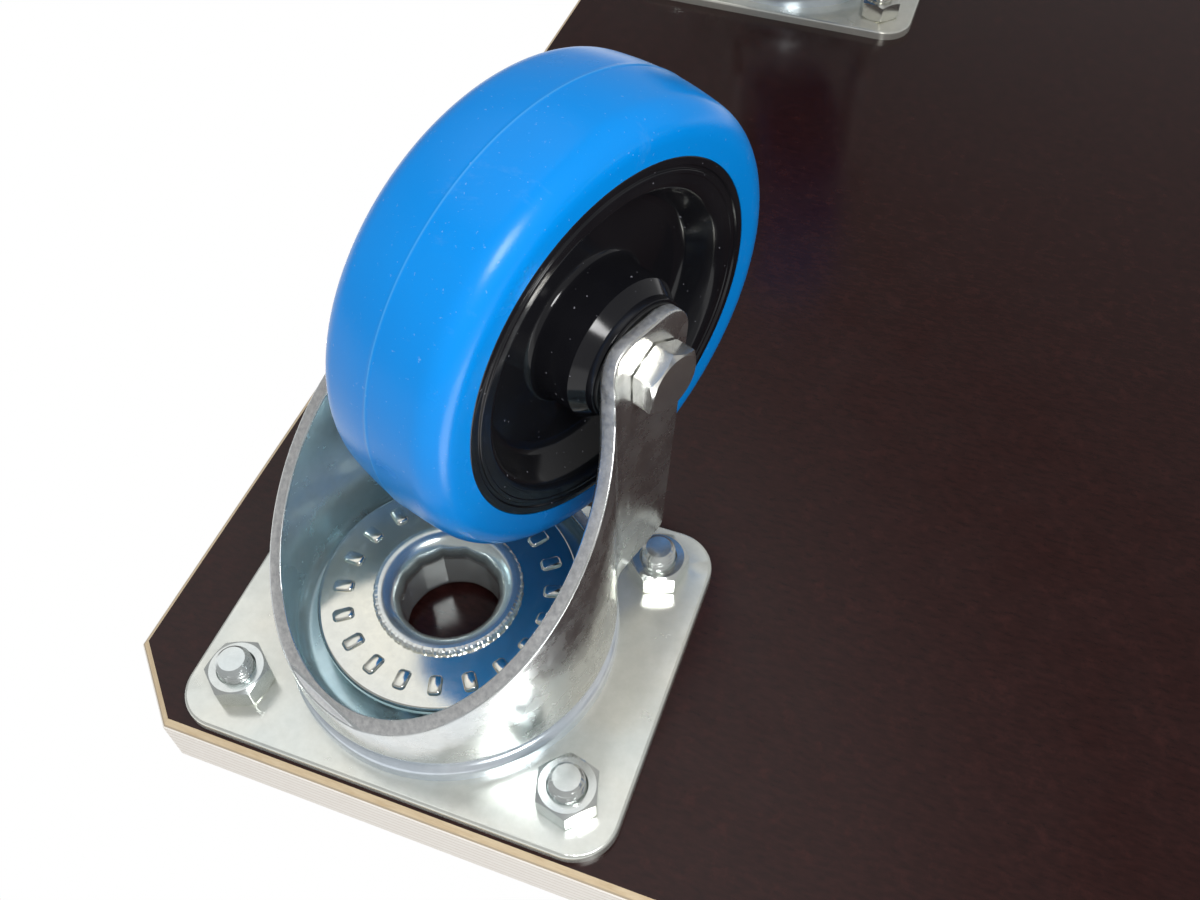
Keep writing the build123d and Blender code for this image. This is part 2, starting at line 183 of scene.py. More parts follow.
def addNode(tree, kind, inputs, **settings):
    node = tree.nodes.new(kind)
    for name, value in settings.items():
        setattr(node, name, value)
    fillInputs(tree, node, inputs)
    return node


def reckon(tree, operation, *values):
    return addNode(tree, "ShaderNodeMath", dict(enumerate(values)), operation=operation).outputs["Value"]


# Geometry Nodes

def startTree(name, **sizes):
    # a tree with a geometry input, the named sizes, a finish, and a geometry output
    tree = bpy.data.node_groups.new(name, "GeometryNodeTree")
    sockets = tree.interface
    sockets.new_socket("Geometry", in_out="INPUT", socket_type="NodeSocketGeometry")
    for label, kind in sizes.items():
        sockets.new_socket(label, in_out="INPUT", socket_type="NodeSocket" + kind)
    sockets.new_socket("finish", in_out="INPUT", socket_type="NodeSocketMaterial")
    sockets.new_socket("Geometry", in_out="OUTPUT", socket_type="NodeSocketGeometry")
    return tree, tree.nodes.new("NodeGroupInput").outputs


def endTree(tree, geometry, finish):
    # real geometry with its finish, at the tree's output
    real = addNode(tree, "GeometryNodeRealizeInstances", {"Geometry": geometry})
    painted = addNode(tree, "GeometryNodeSetMaterial", {
        "Geometry": real.outputs["Geometry"], "Material": finish,
    })
    addNode(tree, "NodeGroupOutput", {"Geometry": painted.outputs["Geometry"]})
    return tree


def vectorOf(tree, **parts):
    return addNode(tree, "ShaderNodeCombineXYZ", parts).outputs["Vector"]


def turnedCopies(tree, points, copy, angles):
    rotation = addNode(tree, "FunctionNodeEulerToRotation", {"Euler": angles})
    copies = addNode(tree, "GeometryNodeInstanceOnPoints", {
        "Points": points, "Instance": copy, "Rotation": rotation.outputs["Rotation"],
    })
    return copies.outputs["Instances"]


def circleRow(tree, given, angles=(0.0, 0.0, 0.0)):
    # points in a circle at the given level
    row = addNode(tree, "GeometryNodeMeshCircle", {"Vertices": given["count"], "Radius": given["rowRadius"]})
    place = addNode(tree, "GeometryNodeTransform", {
        "Geometry": row.outputs["Mesh"], "Translation": vectorOf(tree, Z=given["level"]), "Rotation": angles,
    })
    return place.outputs["Geometry"]


def bakedTree(mesh, tree, values):
    # the tree run on a mesh, as a plain mesh
    carrier = bpy.data.objects.new(tree.name, mesh)
    scene.collection.objects.link(carrier)
    modifier = carrier.modifiers.new(tree.name, "NODES")
    modifier.node_group = tree
    for item in tree.interface.items_tree:
        if item.in_out == "INPUT" and item.name in values:
            modifier[item.identifier] = values[item.name]
    graph = bpy.context.evaluated_depsgraph_get()
    result = bpy.data.meshes.new_from_object(carrier.evaluated_get(graph))
    carrier.modifiers.remove(modifier)
    bpy.data.objects.remove(carrier)
    return result


def fastenerTree():
    # one fastener on every point, turned by the point's own angle
    tree, given = startTree("fastenersOnPoints", fastener="Object")
    model = addNode(tree, "GeometryNodeObjectInfo", {"Object": given["fastener"]})
    turn = addNode(tree, "GeometryNodeInputNamedAttribute", {"Name": "turn"}, data_type="FLOAT")
    angles = vectorOf(tree, Z=turn.outputs["Attribute"])
    fasteners = turnedCopies(tree, given["Geometry"], model.outputs["Geometry"], angles)
    return endTree(tree, fasteners, given["finish"])


dimpleSteps = {
    "cornerPoints": 5,
    "drawIn": {"sink": 0.97, "wall": 0.88, "crown": 0.86},      # scale of the pad after each rise
}


def dimpleTree():
    # a washer with a row of raised pads round it, on its lower side
    tree, given = startTree(
        "washerDimples", count="Int", rowRadius="Float", level="Float", startAngle="Float",
        length="Float", width="Float", corner="Float", sink="Float", wall="Float", crown="Float",
    )
    # the pad: a rounded outline below the face, drawn up in steps that narrow it
    outline = addNode(tree, "GeometryNodeCurvePrimitiveQuadrilateral", {
        "Width": given["length"], "Height": given["width"],
    })
    rounded = addNode(tree, "GeometryNodeFilletCurve", {
        "Curve": outline.outputs["Curve"], "Radius": given["corner"], "Count": dimpleSteps["cornerPoints"],
    }, mode="POLY")
    fill = addNode(tree, "GeometryNodeFillCurve", {"Curve": rounded.outputs["Curve"]}, mode="NGONS")
    sunk = addNode(tree, "GeometryNodeTransform", {
        "Geometry": fill.outputs["Mesh"],
        "Translation": vectorOf(tree, Z=reckon(tree, "MULTIPLY", given["sink"], -1.0)),
    })
    pad = sunk.outputs["Geometry"]
    top = True
    for rise, drawIn in dimpleSteps["drawIn"].items():
        raised = addNode(tree, "GeometryNodeExtrudeMesh", {
            "Mesh": pad, "Selection": top, "Offset Scale": given[rise],
        })
        top = raised.outputs["Top"]
        narrowed = addNode(tree, "GeometryNodeScaleElements", {
            "Geometry": raised.outputs["Mesh"], "Selection": top, "Scale": drawIn,
        })
        pad = narrowed.outputs["Geometry"]
    # the row: each pad turned outwards and facing down
    index = addNode(tree, "GeometryNodeInputIndex", {}).outputs["Index"]
    share = reckon(tree, "DIVIDE", index, given["count"])
    angle = reckon(tree, "MULTIPLY_ADD", share, 2 * math.pi, given["startAngle"])
    row = circleRow(tree, given, vectorOf(tree, Z=given["startAngle"]))
    pads = turnedCopies(tree, row, pad, vectorOf(tree, X=math.pi, Z=angle))
    both = addNode(tree, "GeometryNodeJoinGeometry", {"Geometry": pads})
    tree.links.new(given["Geometry"], both.inputs["Geometry"])
    return endTree(tree, both.outputs["Geometry"], given["finish"])


ballSteps = {"Segments": 32, "Rings": 16}


def ballTree():
    # a ring of bearing balls
    tree, given = startTree("ballRow", count="Int", rowRadius="Float", ballRadius="Float", level="Float")
    ball = addNode(tree, "GeometryNodeMeshUVSphere", dict(ballSteps, Radius=given["ballRadius"]))
    balls = addNode(tree, "GeometryNodeInstanceOnPoints", {
        "Points": circleRow(tree, given), "Instance": ball.outputs["Mesh"],
    })
    return endTree(tree, balls.outputs["Instances"], given["finish"])


# Material helpers

def startMaterial(name):
    material = bpy.data.materials.new(name)
    material.use_nodes = True
    tree = material.node_tree
    coords = tree.nodes.new("ShaderNodeTexCoord")
    return material, tree, tree.nodes["Principled BSDF"], coords.outputs


def stretched(tree, place, scale):
    return addNode(tree, "ShaderNodeMapping", {"Vector": place, "Scale": scale}).outputs["Vector"]


def noise(tree, place, kind):
    inputs = dict(zip(("Scale", "Detail", "Roughness"), kind), Vector=place)
    return addNode(tree, "ShaderNodeTexNoise", inputs).outputs["Fac"]


def ramp(tree, value, *stops):
    # colour by value, and a number stands for a grey
    node = addNode(tree, "ShaderNodeValToRGB", {"Fac": value})
    bar = node.color_ramp
    while len(bar.elements) < len(stops):
        bar.elements.new(1.0)
    for element, (position, color) in zip(bar.elements, stops):
        element.position = position
        element.color = (*color, 1.0) if isinstance(color, tuple) else (color, color, color, 1.0)
    return node.outputs["Color"]


def spread(tree, value, low, high, fromLow=0.3, fromHigh=0.7):
    return addNode(tree, "ShaderNodeMapRange", {
        "Value": value, "From Min": fromLow, "From Max": fromHigh, "To Min": low, "To Max": high,
    }).outputs["Result"]


def mixed(tree, factor, first, second, blend="MIX"):
    # the Mix node's colour sockets share their names with others, so they go by number
    inputs = {0: factor, 6: first, 7: second}
    return addNode(tree, "ShaderNodeMix", inputs, data_type="RGBA", blend_type=blend).outputs[2]


def bumped(tree, height, distance, below=None):
    inputs = {"Height": height, "Distance": distance, "Strength": 1.0}
    if below is not None:
        inputs["Normal"] = below
    return addNode(tree, "ShaderNodeBump", inputs).outputs["Normal"]


# Finishes: a noise is its scale, detail and roughness, and tones are places on it with their colours

zincGrain = {
    "tint": (34, 3.0),
    "tintPlaces": (0.36, 0.64),
    "cloud": (420, 4.0, 0.65),
    "cloudTones": ((0.3, 0.9), (0.7, 1.0)),
    "gloss": (150, 5.0, 0.6),
    "waves": (55, 2.0),
    "fine": (1900, 2.0),
    "fineHeight": 0.0012 * mm,
}
zincCoats = {               # cool tint, warm tint, roughness, height of the waves, metallic share
    "plateZinc": ((0.8, 0.84, 0.8), (0.89, 0.88, 0.79), (0.18, 0.28), 0.03 * mm, 0.7),
    "forkZinc": ((0.78, 0.82, 0.83), (0.87, 0.87, 0.83), (0.18, 0.36), 0.1 * mm, 0.96),
    # the inside's teal tint and lighter tone are a painted reflection of the blue tyre and painted light on
    # the inner walls and the crown's underside
    "forkInside": ((0.55, 0.79, 0.87), (0.74, 0.89, 0.92), (0.17, 0.3), 0.15 * mm, 0.7),
    "washerZinc": ((0.79, 0.81, 0.77), (0.88, 0.87, 0.77), (0.1, 0.2), 0.05 * mm, 0.98),
    "rivetZinc": ((0.68, 0.77, 0.77), (0.84, 0.87, 0.84), (0.14, 0.26), 0.1 * mm, 0.9),
    "boreZinc": ((0.74, 0.83, 0.82), (0.88, 0.92, 0.9), (0.13, 0.24), 0.12 * mm, 0.78),
    "ringZinc": ((0.7, 0.78, 0.86), (0.84, 0.88, 0.92), (0.14, 0.26), 0.04 * mm, 0.6),
    "nutZinc": ((0.77, 0.83, 0.83), (0.87, 0.87, 0.81), (0.13, 0.22), 0.02 * mm, 0.92),
    "boltZinc": ((0.76, 0.8, 0.8), (0.86, 0.84, 0.78), (0.12, 0.24), 0.04 * mm, 0.93),
}


def zincFinish(name, cool, warm, gloss, waveHeight, metallic):
    # zinc plate: a little wavy, with faint warm and cool tints
    material, tree, shader, coords = startMaterial(name)

    def grain(kind):
        return noise(tree, coords["Object"], zincGrain[kind])

    tint = ramp(tree, grain("tint"), *zip(zincGrain["tintPlaces"], (cool, warm)))
    cloud = ramp(tree, grain("cloud"), *zincGrain["cloudTones"])
    sheet = bumped(tree, grain("waves"), waveHeight)
    fillInputs(tree, shader, {
        "Base Color": mixed(tree, 1.0, tint, cloud, "MULTIPLY"),
        "Roughness": spread(tree, grain("gloss"), *gloss),
        "Normal": bumped(tree, grain("fine"), zincGrain["fineHeight"], sheet),
        "Metallic": metallic,
    })
    return material


grainCoats = {
    "shearedEdge": {            # the fork's cut edge, torn across the sheet
        "grain": (900, 4.0, 0.7),
        "tones": ((0.3, (0.56, 0.57, 0.58)), (0.7, (0.84, 0.84, 0.83))),
        "gloss": (0.34, 0.56),
        "metallic": 0.92,
        "grainHeight": 0.01 * mm,
        "tear": (380, 3.0),
        "tearHeight": 0.04 * mm,
    },
    "bearingSteel": {           # smeared with grease
        "grain": (260, 3.0),
        "tones": ((0.35, (0.6, 0.6, 0.62)), (0.65, (0.76, 0.76, 0.77))),
        "gloss": (0.06, 0.2),
        "metallic": 1.0,
    },
    "blackCap": {
        "grain": (700, 4.0, 0.6),
        "tones": ((0.3, (0.008, 0.008, 0.008)), (0.7, (0.02, 0.02, 0.021))),
        "gloss": (0.34, 0.52),
        "metallic": 0.0,
        "grainHeight": 0.02 * mm,
    },
}


def grainFinish(name):
    # one grain gives the tone, the gloss and the relief, if any
    material, tree, shader, coords = startMaterial(name)
    coat = grainCoats[name]
    grain = noise(tree, coords["Object"], coat["grain"])
    fillInputs(tree, shader, {
        "Base Color": ramp(tree, grain, *coat["tones"]),
        "Roughness": spread(tree, grain, *coat["gloss"]),
        "Metallic": coat["metallic"],
    })
    torn = None
    if "tear" in coat:
        torn = bumped(tree, noise(tree, coords["Object"], coat["tear"]), coat["tearHeight"])
    if "grainHeight" in coat:
        fillInputs(tree, shader, {"Normal": bumped(tree, grain, coat["grainHeight"], torn)})
    return material


tyreRubber = {
    "shade": (16, 3.0),
    "blues": ((0.3, (0.0, 0.23, 0.7)), (0.7, (0.0, 0.264, 0.785))),
    "scuff": (75, 6.0, 0.72),
    "scuffStretch": (1.0, 2.2, 0.8),
    "scuffShare": ((0.6, 0.0), (0.78, 0.3)),
    "scuffColor": (0.1, 0.32, 0.74),
    "dust": (1300, 2.0),
    "dustShare": ((0.7, 0.0), (0.76, 0.4)),
    "dustColor": (0.24, 0.46, 0.82),
    "partingColor": (0.05, 0.35, 0.82),
    "sheen": (90, 4.0, 0.6),
    "gloss": (0.2, 0.28),
    "specular": 0.26,
    "skin": (120, 2.0),
    "skinHeight": 0.03 * mm,
    "grain": (1500, 3.0),
    "grainHeight": 0.012 * mm,
}


def tyreFinish(name):
    # smooth blue elastic rubber, slightly uneven, with pale scuffs and dust
    material, tree, shader, coords = startMaterial(name)
    place = coords["Object"]
    values = tyreRubber
    blue = ramp(tree, noise(tree, place, values["shade"]), *values["blues"])
    scuff = noise(tree, stretched(tree, place, values["scuffStretch"]), values["scuff"])
    scuffed = mixed(tree, ramp(tree, scuff, *values["scuffShare"]), blue, values["scuffColor"])
    parting = addNode(tree, "ShaderNodeAttribute", {}, attribute_name="parting")
    lined = mixed(tree, parting.outputs["Fac"], scuffed, values["partingColor"])
    dust = ramp(tree, noise(tree, place, values["dust"]), *values["dustShare"])
    skin = bumped(tree, noise(tree, place, values["skin"]), values["skinHeight"])
    fillInputs(tree, shader, {
        "Base Color": mixed(tree, dust, lined, values["dustColor"]),
        "Roughness": spread(tree, noise(tree, place, values["sheen"]), *values["gloss"]),
        "Normal": bumped(tree, noise(tree, place, values["grain"]), values["grainHeight"], skin),
        "Specular IOR Level": values["specular"],
    })
    return material


rimPlastic = {
    "flow": (40, 3.0),
    "blacks": ((0.3, (0.005, 0.005, 0.007)), (0.7, (0.011, 0.011, 0.013))),
    "specks": (900, 1.0),
    "speckShare": ((0.765, 0.0), (0.8, 0.8)),
    "speckColor": (0.3, 0.3, 0.34),
    "sheen": (130, 4.0, 0.6),
    "gloss": (0.08, 0.17),
    "specular": 0.38,
    "ripple": (60, 2.0),
    "rippleHeight": 0.08 * mm,
}


def rimFinish(name):
    # glossy black moulding with flow marks and a few specks
    material, tree, shader, coords = startMaterial(name)
    place = coords["Object"]
    values = rimPlastic
    black = ramp(tree, noise(tree, place, values["flow"]), *values["blacks"])
    specks = ramp(tree, noise(tree, place, values["specks"]), *values["speckShare"])
    fillInputs(tree, shader, {
        "Base Color": mixed(tree, specks, black, values["speckColor"]),
        "Roughness": spread(tree, noise(tree, place, values["sheen"]), *values["gloss"]),
        "Normal": bumped(tree, noise(tree, place, values["ripple"]), values["rippleHeight"]),
        "Specular IOR Level": values["specular"],
    })
    return material


plyDeck = {
    "faceLevel": 0.9,               # a face that points up or down at least so much has film on it
    "filmGrain": (900, 3.0, 0.6),
    "filmStretch": (0.35, 1.0, 1.0),
    "filmTones": ((0.3, (0.016, 0.0047, 0.0042)), (0.7, (0.028, 0.008, 0.007))),
    "filmHeight": 0.006 * mm,
    "filmSheen": (60, 4.0, 0.6),
    "filmGloss": (0.16, 0.26),
    "specular": 0.3,
    "flecks": (240, 4.0, 0.7),
    "fleckShare": ((0.55, 0.0), (0.75, 0.6)),
    "fleckColor": (0.045, 0.0115, 0.0095),
    "plies": 9,
    "plyPale": (0.98, 0.94, 0.88),
    "plyDark": (0.91, 0.85, 0.78),
    "fibres": (1600, 4.0, 0.65),
    "fibreStretch": (0.12, 0.12, 1.0),
    "fibreShare": (0.0, 0.5),
    "fibreHeight": 0.12 * mm,
    "pores": (1100, 4.0, 0.7),
    "poreShare": (0.0, 0.8),
    "woodGloss": (0.5, 0.72),
    "veneer": 1.2 * mm,             # outer ply, darker than the rest
    "veneerTones": ((0.3, (0.62, 0.47, 0.29)), (0.7, (0.76, 0.62, 0.42))),
    "veneerGlue": 0.32 * mm,
    "glueColor": (0.48, 0.39, 0.28),
    "glueShare": 0.2,               # of a ply
    "glueStrength": 0.35,           # of the lines between plies; the one under the veneer is full
    "gripPitch": 2.4 * mm,
    "gripHeight": 0.12 * mm,
}


def deckFinish(name):
    # brown resin film on both faces, bare plies at the edges
    material, tree, shader, coords = startMaterial(name)
    place = coords["Object"]
    values = plyDeck
    low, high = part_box("deck_board")
    thickness = high.z - low.z
    facing = addNode(tree, "ShaderNodeSeparateXYZ", {"Vector": coords["Normal"]}).outputs["Z"]
    where = addNode(tree, "ShaderNodeSeparateXYZ", {"Vector": place}).outputs
    isFilm = reckon(tree, "GREATER_THAN", reckon(tree, "ABSOLUTE", facing), values["faceLevel"])
    isTop = reckon(tree, "GREATER_THAN", facing, values["faceLevel"])
    # film
    filmGrain = noise(tree, stretched(tree, place, values["filmStretch"]), values["filmGrain"])
    flecks = ramp(tree, noise(tree, place, values["flecks"]), *values["fleckShare"])
    film = mixed(tree, flecks, ramp(tree, filmGrain, *values["filmTones"]), values["fleckColor"])
    # plies, counted up the edge, with a glue line between them
    level = reckon(tree, "SUBTRACT", where["Z"], low.z)
    ply = reckon(tree, "MULTIPLY", level, values["plies"] / thickness)
    crossing = reckon(tree, "GREATER_THAN", reckon(tree, "PINGPONG", reckon(tree, "FLOOR", ply), 1.0), 0.5)
    fibres = noise(tree, stretched(tree, place, values["fibreStretch"]), values["fibres"])
    fibreShare = spread(tree, fibres, *values["fibreShare"])
    poreShare = spread(tree, noise(tree, place, values["pores"]), *values["poreShare"])
    along = mixed(tree, fibreShare, values["plyPale"], values["plyDark"])
    across = mixed(tree, poreShare, values["plyPale"], values["plyDark"])
    isGlue = reckon(tree, "LESS_THAN", reckon(tree, "FRACT", ply), values["glueShare"])
    glue = reckon(tree, "MULTIPLY", isGlue, values["glueStrength"])
    plies = mixed(tree, glue, mixed(tree, crossing, along, across), values["glueColor"])
    # the outer veneer and the glue under it
    toFace = reckon(tree, "MINIMUM", level, reckon(tree, "SUBTRACT", thickness, level))
    isVeneer = reckon(tree, "LESS_THAN", toFace, values["veneer"])
    isGlued = reckon(tree, "LESS_THAN", toFace, values["veneer"] + values["veneerGlue"])
    veneer = ramp(tree, fibres, *values["veneerTones"])
    bare = mixed(tree, isVeneer, mixed(tree, isGlued, plies, values["glueColor"]), veneer)
    # film is satin, bare wood is dull
    satin = spread(tree, noise(tree, place, values["filmSheen"]), *values["filmGloss"])
    dull = spread(tree, fibres, *values["woodGloss"])
    rough = addNode(tree, "ShaderNodeMix", {"Factor": isFilm, "A": dull, "B": satin})
    # the load face has a pressed grip pattern
    waves = [
        reckon(tree, "SINE", reckon(tree, "MULTIPLY", where[axis], 2 * math.pi / values["gripPitch"]))
        for axis in ("X", "Y")
    ]
    grip = reckon(tree, "MULTIPLY", reckon(tree, "MAXIMUM", *waves), isTop)
    bareFibres = reckon(tree, "MULTIPLY", fibres, reckon(tree, "SUBTRACT", 1.0, isFilm))
    wood = bumped(tree, bareFibres, values["fibreHeight"])
    skin = bumped(tree, filmGrain, values["filmHeight"], wood)
    fillInputs(tree, shader, {
        "Base Color": mixed(tree, isFilm, bare, film),
        "Roughness": rough.outputs["Result"],
        "Normal": bumped(tree, grip, values["gripHeight"], skin),
        "Specular IOR Level": values["specular"],
    })
    return material


finishes = {name: zincFinish(name, *coat) for name, coat in zincCoats.items()}
finishes["sheared"] = grainFinish("shearedEdge")
finishes["bearing"] = grainFinish("bearingSteel")
finishes["tyre"] = tyreFinish("blueTyre")
finishes["rim"] = rimFinish("blackRim")
finishes["cap"] = grainFinish("blackCap")
finishes["deck"] = deckFinish("filmFacedPly")
print("finishes made:", len(finishes))


# Deck

deckBoard = frame["nodes"]["deck_board"]
deckBoard.data.materials.clear()
deckBoard.data.materials.append(finishes["deck"])

fastener = {
    "nutFlats": 13.0,
    "nutCorner": 0.35,          # rounding of the hexagon's corners
    "nutMouth": 0.5,            # chamfer of the nut's thread
    "faceShare": 0.95,          # flat face of the nut, as a share of its flats
    "chamferSlope": math.tan(math.radians(30)),
    "sharpAngle": 24,
    "threadRadius": 4.0,
    "threadDepth": 0.55,
    "threadRunIn": 0.1,         # from the plain shank to the thread
    "threadFlank": (1.5, 0.25),     # slope, and the share cut off at the crest
    "pitch": 1.25,
    "endChamfer": 1.0,
    "headRadius": 7.9,
    "headEdge": 0.2,
    "threadInNut": 1.0,         # how far up the nut the drawn thread begins
    "socketFlats": 5.0,
    "socketCorner": 0.2,
    "socketDepth": 3.0,
    "socketMouth": 0.5,
    "socketTip": (0.4, 0.7),        # radius and depth of the drilled end
    "holePitch": (80.0, 60.0),
    "holes": ((-1, -1), (1, -1), (1, 1), (-1, 1)),
    "nutTurns": {               # degrees, by caster and hole
        "back_left": (27.0, 10.0, 44.0, 9.0),
        "front_left": (14.0, 36.0, 44.0, 31.0),
        "front_right": (52.0, 23.0, 7.0, 40.0),
        "back_right": (5.0, 48.0, 18.0, 33.0),
    },
    "screwTurns": {
        "back_left": (25.0, 8.0, 41.0, 17.0),
        "front_left": (50.0, 12.0, 33.0, 3.0),
        "front_right": (19.0, 44.0, 6.0, 29.0),
        "back_right": (37.0, 55.0, 22.0, 10.0),
    },
}


def hexagonCorner(flats, rounding):
    # how far out a rounded corner is centred, and half the angle it takes up
    reach = (flats / 2 - rounding) / math.cos(math.pi / 6)
    return reach, math.atan2(rounding / 2, reach + rounding * math.cos(math.pi / 6))


def hexagonTurns(flats, rounding, faceSteps=8):
    # angles round a hexagon, close together at its rounded corners
    corner = hexagonCorner(flats, rounding)[1]
    gap = math.pi / 3 - 2 * corner
    turns = []
    for side in range(6):
        middle = side * math.pi / 3 + math.pi / 6
        turns += [middle + corner * part / 2 for part in range(-2, 3)]
        turns += [middle + corner + gap * step / faceSteps for step in range(1, faceSteps)]
    return turns


def hexagonRadius(flats, rounding):
    # the hexagon's radius by angle, a flat at angle 0
    reach, corner = hexagonCorner(flats, rounding)

    def radiusAt(turn):
        fromFlat = (turn + math.pi / 6) % (math.pi / 3) - math.pi / 6
        fromCorner = math.pi / 6 - abs(fromFlat)
        if fromCorner < corner:
            return reach * math.cos(fromCorner) + math.sqrt(rounding**2 - (reach * math.sin(fromCorner))**2)
        return flats / 2 / math.cos(fromFlat)

    return radiusAt


def hexagonRings(turns, sizes, low, high, cutLow, cutHigh):
    # outside of a nut or bolt head, its corners turned down at the cut ends
    radiusAt = hexagonRadius(sizes["nutFlats"], sizes["nutCorner"])
    face = sizes["nutFlats"] / 2 * sizes["faceShare"]

    def drop(turn):
        return max(0.0, radiusAt(turn) - face) * sizes["chamferSlope"]

    return [
        ring(turns, face, low),
        ring(turns, radiusAt, lambda turn: low + drop(turn) * cutLow),
        ring(turns, radiusAt, lambda turn: high - drop(turn) * cutHigh),
        ring(turns, face, high),
    ]


def threadRings(turns, sizes, start, end, steps=8):
    # a threaded length from start down to end, chamfered at its end
    count = math.ceil((start - end) / sizes["pitch"] * steps)
    core = sizes["threadRadius"] - sizes["endChamfer"]
    slope, crest = sizes["threadFlank"]
    rings = []
    for step in range(count + 1):
        height = start + (end - start) * step / count

        def radiusAt(turn):
            phase = (height / sizes["pitch"] + turn / (2 * math.pi)) % 1.0
            flank = min(1.0, max(0.0, abs(2 * phase - 1) * slope - crest))
            return min(sizes["threadRadius"] - sizes["threadDepth"] * flank, core + (height - end))

        rings.append(ring(turns, radiusAt, height))
    return rings


def nutMesh(sizes):
    low, high = heights("deck_nuts")
    turns = hexagonTurns(sizes["nutFlats"], sizes["nutCorner"])
    outside = hexagonRings(turns, sizes, low, high, True, True)
    rod = sizes["threadRadius"]
    mouth = sizes["nutMouth"]
    bore = ((rod + mouth, high), (rod, high - mouth), (rod, low + mouth), (rod + mouth, low))
    return ringMesh("deckNut", outside + [ring(turns, *place) for place in bore], loop=True)


def screwMesh(sizes):
    low, high = heights("deck_screws")
    shankEnd = heights("deck_nuts")[0] + sizes["threadInNut"]
    turns = hexagonTurns(sizes["socketFlats"], sizes["socketCorner"])
    socket = hexagonRadius(sizes["socketFlats"], sizes["socketCorner"])
    socketEnd = high - sizes["socketDepth"]
    tipRadius, tipDepth = sizes["socketTip"]
    head = sizes["headRadius"]
    edge = sizes["headEdge"]
    rod = sizes["threadRadius"]
    places = (
        (tipRadius, socketEnd - tipDepth),
        (socket, socketEnd),
        (socket, high - sizes["socketMouth"]),
        (sizes["socketFlats"] / 2 + sizes["socketMouth"], high),
        (head - edge, high),
        (head, high - edge),
        (rod, high - (head - rod)),
        (rod, shankEnd),
    )
    rings = [ring(turns, *place) for place in places]
    rings += threadRings(turns, sizes, shankEnd - sizes["threadRunIn"], low)
    return ringMesh("deckScrew", rings, capStart=True, capEnd=True)


def fastenerPoints(angles):
    # one point for each hole of each caster plate, with its fastener's turn
    reachX, reachY = (pitch / 2 * mm for pitch in fastener["holePitch"])
    spots = []
    turns = []
    for corner in corners:
        kingpin = joints["swivel_" + corner]["pos_m"]
        for (alongX, alongY), angle in zip(fastener["holes"], angles[corner]):
            spots.append((kingpin[0] + alongX * reachX, kingpin[1] + alongY * reachY, 0))
            turns.append(math.radians(angle))
    mesh = bpy.data.meshes.new("fastenerPoints")
    mesh.from_pydata(spots, [], [])
    mesh.attributes.new("turn", "FLOAT", "POINT").data.foreach_set("value", turns)
    return mesh


def addFasteners(name, master, angles, tree, node):
    sharpAngle = fastener["sharpAngle"]
    master.transform(Matrix.Scale(mm, 4))
    master.shade_smooth()
    master.set_sharp_from_angle(angle=math.radians(sharpAngle))
    model = bpy.data.objects.new(name + "Model", master)
    scene.collection.objects.link(model)
    values = {"fastener": model, "finish": finishes["nutZinc"]}
    mesh = bakedTree(fastenerPoints(angles), tree, values)
    bpy.data.objects.remove(model)
    addPiece(name, mesh, None, "deck", [node], sharpAngle)


rowOfFasteners = fastenerTree()
addFasteners("hexNuts", nutMesh(fastener), fastener["nutTurns"], rowOfFasteners, "deck_nuts")
addFasteners("countersunkScrews", screwMesh(fastener), fastener["screwTurns"], rowOfFasteners, "deck_screws")
print("deck fasteners made")


# Swivel heads

plainPieces = {                 # CAD node, body, slot and finish of what is right as it is
    "casterPlate_": ("top_plate_", "deck", "zinc", "plateZinc"),
    "swivelRing_": ("swivel_ring_", "deck", "blue_zinc", "ringZinc"),
    "rollerCage_": ("roller_bearing_", "wheel_", "bearing_steel", "bearing"),
    "axleTube_": ("axle_tube_", "caster_", "bearing_steel", "bearing"),
}


def addPlainCopies(corner):
    # CAD shapes, shaded smooth
    for name, (node, body, slot, finish) in plainPieces.items():
        mesh = bpy.data.meshes.new(name + corner)
        bm = cadCopy(node + corner)
        bm.to_mesh(mesh)
        bm.free()
        rides = body if body == "deck" else body + corner
        addPiece(name + corner, mesh, finishes[finish], rides, [node + corner], sharpAngle=30)


ballRows = {
    "upper": {"count": 24, "rowRadius": 29.0, "ballRadius": 2.25, "level": 121.9},
    "lower": {"count": 16, "rowRadius": 23.8, "ballRadius": 3.1, "level": 114.25},
}


def addBallRows(corner, tree):
    for row, sizes in ballRows.items():
        values = dict(sizes, finish=finishes["bearing"])
        mesh = bakedTree(bpy.data.meshes.new("ballCarrier"), tree, values)
        mesh.transform(casterPlace(corner))
        node = row + "_balls_" + corner
        addPiece(row + "BallRow_" + corner, mesh, None, "deck", [node])


raceWasher = {
    "outside": 29.5,
    "bore": 14.5,
    "edgeRound": 0.9,
    "backRound": 0.4,
    "steps": 160,
    "dimples": {
        "count": 20,
        "rowRadius": 23.8,
        "startAngle": math.radians(14.3),
        "length": 5.0,
        "width": 3.2,
        "corner": 1.0,
        "sink": 0.3,
        "wall": 0.5,
        "crown": 0.2,
    },
}


def washerFace(corner):
    # level of the washer's face, from which its dimples stand out
    dimples = raceWasher["dimples"]
    return heights("race_washer_" + corner)[0] + dimples["wall"] + dimples["crown"]


def addWasher(corner, tree):
    sizes = raceWasher
    back = heights("race_washer_" + corner)[1]
    face = washerFace(corner)
    section = roundedSection((
        (sizes["bore"], back, 0),
        (sizes["outside"], back, sizes["backRound"]),
        (sizes["outside"], face, sizes["edgeRound"]),
        (sizes["bore"], face, 0),
    ))
    values = dict(sizes["dimples"], level=face, finish=finishes["washerZinc"])
    mesh = bakedTree(turnedMesh("washer", section, sizes["steps"]), tree, values)
    mesh.transform(casterPlace(corner))
    node = "race_washer_" + corner
    addPiece("dimpledWasher_" + corner, mesh, None, "deck", [node], sharpAngle=40)


